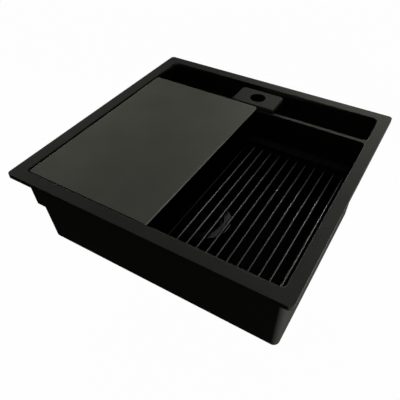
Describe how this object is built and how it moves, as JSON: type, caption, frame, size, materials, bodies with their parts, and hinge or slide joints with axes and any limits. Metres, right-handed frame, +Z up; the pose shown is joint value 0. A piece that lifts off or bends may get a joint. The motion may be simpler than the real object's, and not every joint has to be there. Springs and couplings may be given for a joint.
{
  "type": "workstation kitchen sink",
  "caption": "Drop-in workstation kitchen sink: deep composite bowl with stepped ledges, sliding chopping board, roll-up draining mat, rear channel with tap pad, basket waste and pipe.",
  "frame": {"origin": "centre of the rim on the worktop plane, which is the underside of the rim", "axes": "+X to the right seen from the front, +Y to the back where the tap stands, +Z up"},
  "size_m": [0.56, 0.55, 0.2655],
  "materials": {
    "composite": "matt black granite composite",
    "board": "charcoal paper composite, satin",
    "rod": "black coated steel, satin",
    "silicone": "black silicone, matt",
    "gunmetal": "dark coated stainless steel, brushed",
    "gasket": "black rubber, matt",
    "plumbing": "black polypropylene",
    "screw": "stainless steel"
  },
  "bodies": {
    "basin": {"sink_basin": "composite", "waste_cup": "gunmetal", "flange_gasket": "gasket", "body_gasket": "gasket", "waste_body": "plumbing", "waste_screw": "screw", "channel_grate": "gunmetal", "grate_screw": "gunmetal", "channel_gasket": "gasket", "channel_tail": "plumbing", "overflow_pipe": "plumbing", "pipe_nut_upper": "plumbing", "pipe_nut_lower": "plumbing"},
    "board": {"chopping_board": "board"},
    "mat": {"mat_front_strip": "silicone", "mat_back_strip": "silicone", "mat_rod_01": "rod", "mat_rod_02": "rod", "mat_rod_03": "rod", "mat_rod_04": "rod", "mat_rod_05": "rod", "mat_rod_06": "rod", "mat_rod_07": "rod", "mat_rod_08": "rod", "mat_rod_09": "rod", "mat_rod_10": "rod", "mat_rod_11": "rod", "mat_rod_12": "rod"},
    "basket": {"waste_basket": "gunmetal", "basket_seal": "gasket", "basket_knob": "gunmetal"}
  },
  "joints": [
    {"name": "board_slide", "type": "slide", "parent": "basin", "child": "board", "axis": [1, 0, 0], "range_m": [-0.003, 0.239]},
    {"name": "mat_slide", "type": "slide", "parent": "basin", "child": "mat", "axis": [1, 0, 0], "range_m": [-0.258, 0.003]},
    {"name": "basket_lift", "type": "slide", "parent": "basin", "child": "basket", "axis": [0, 0, 1], "range_m": [0, 0.068]}
  ]
}
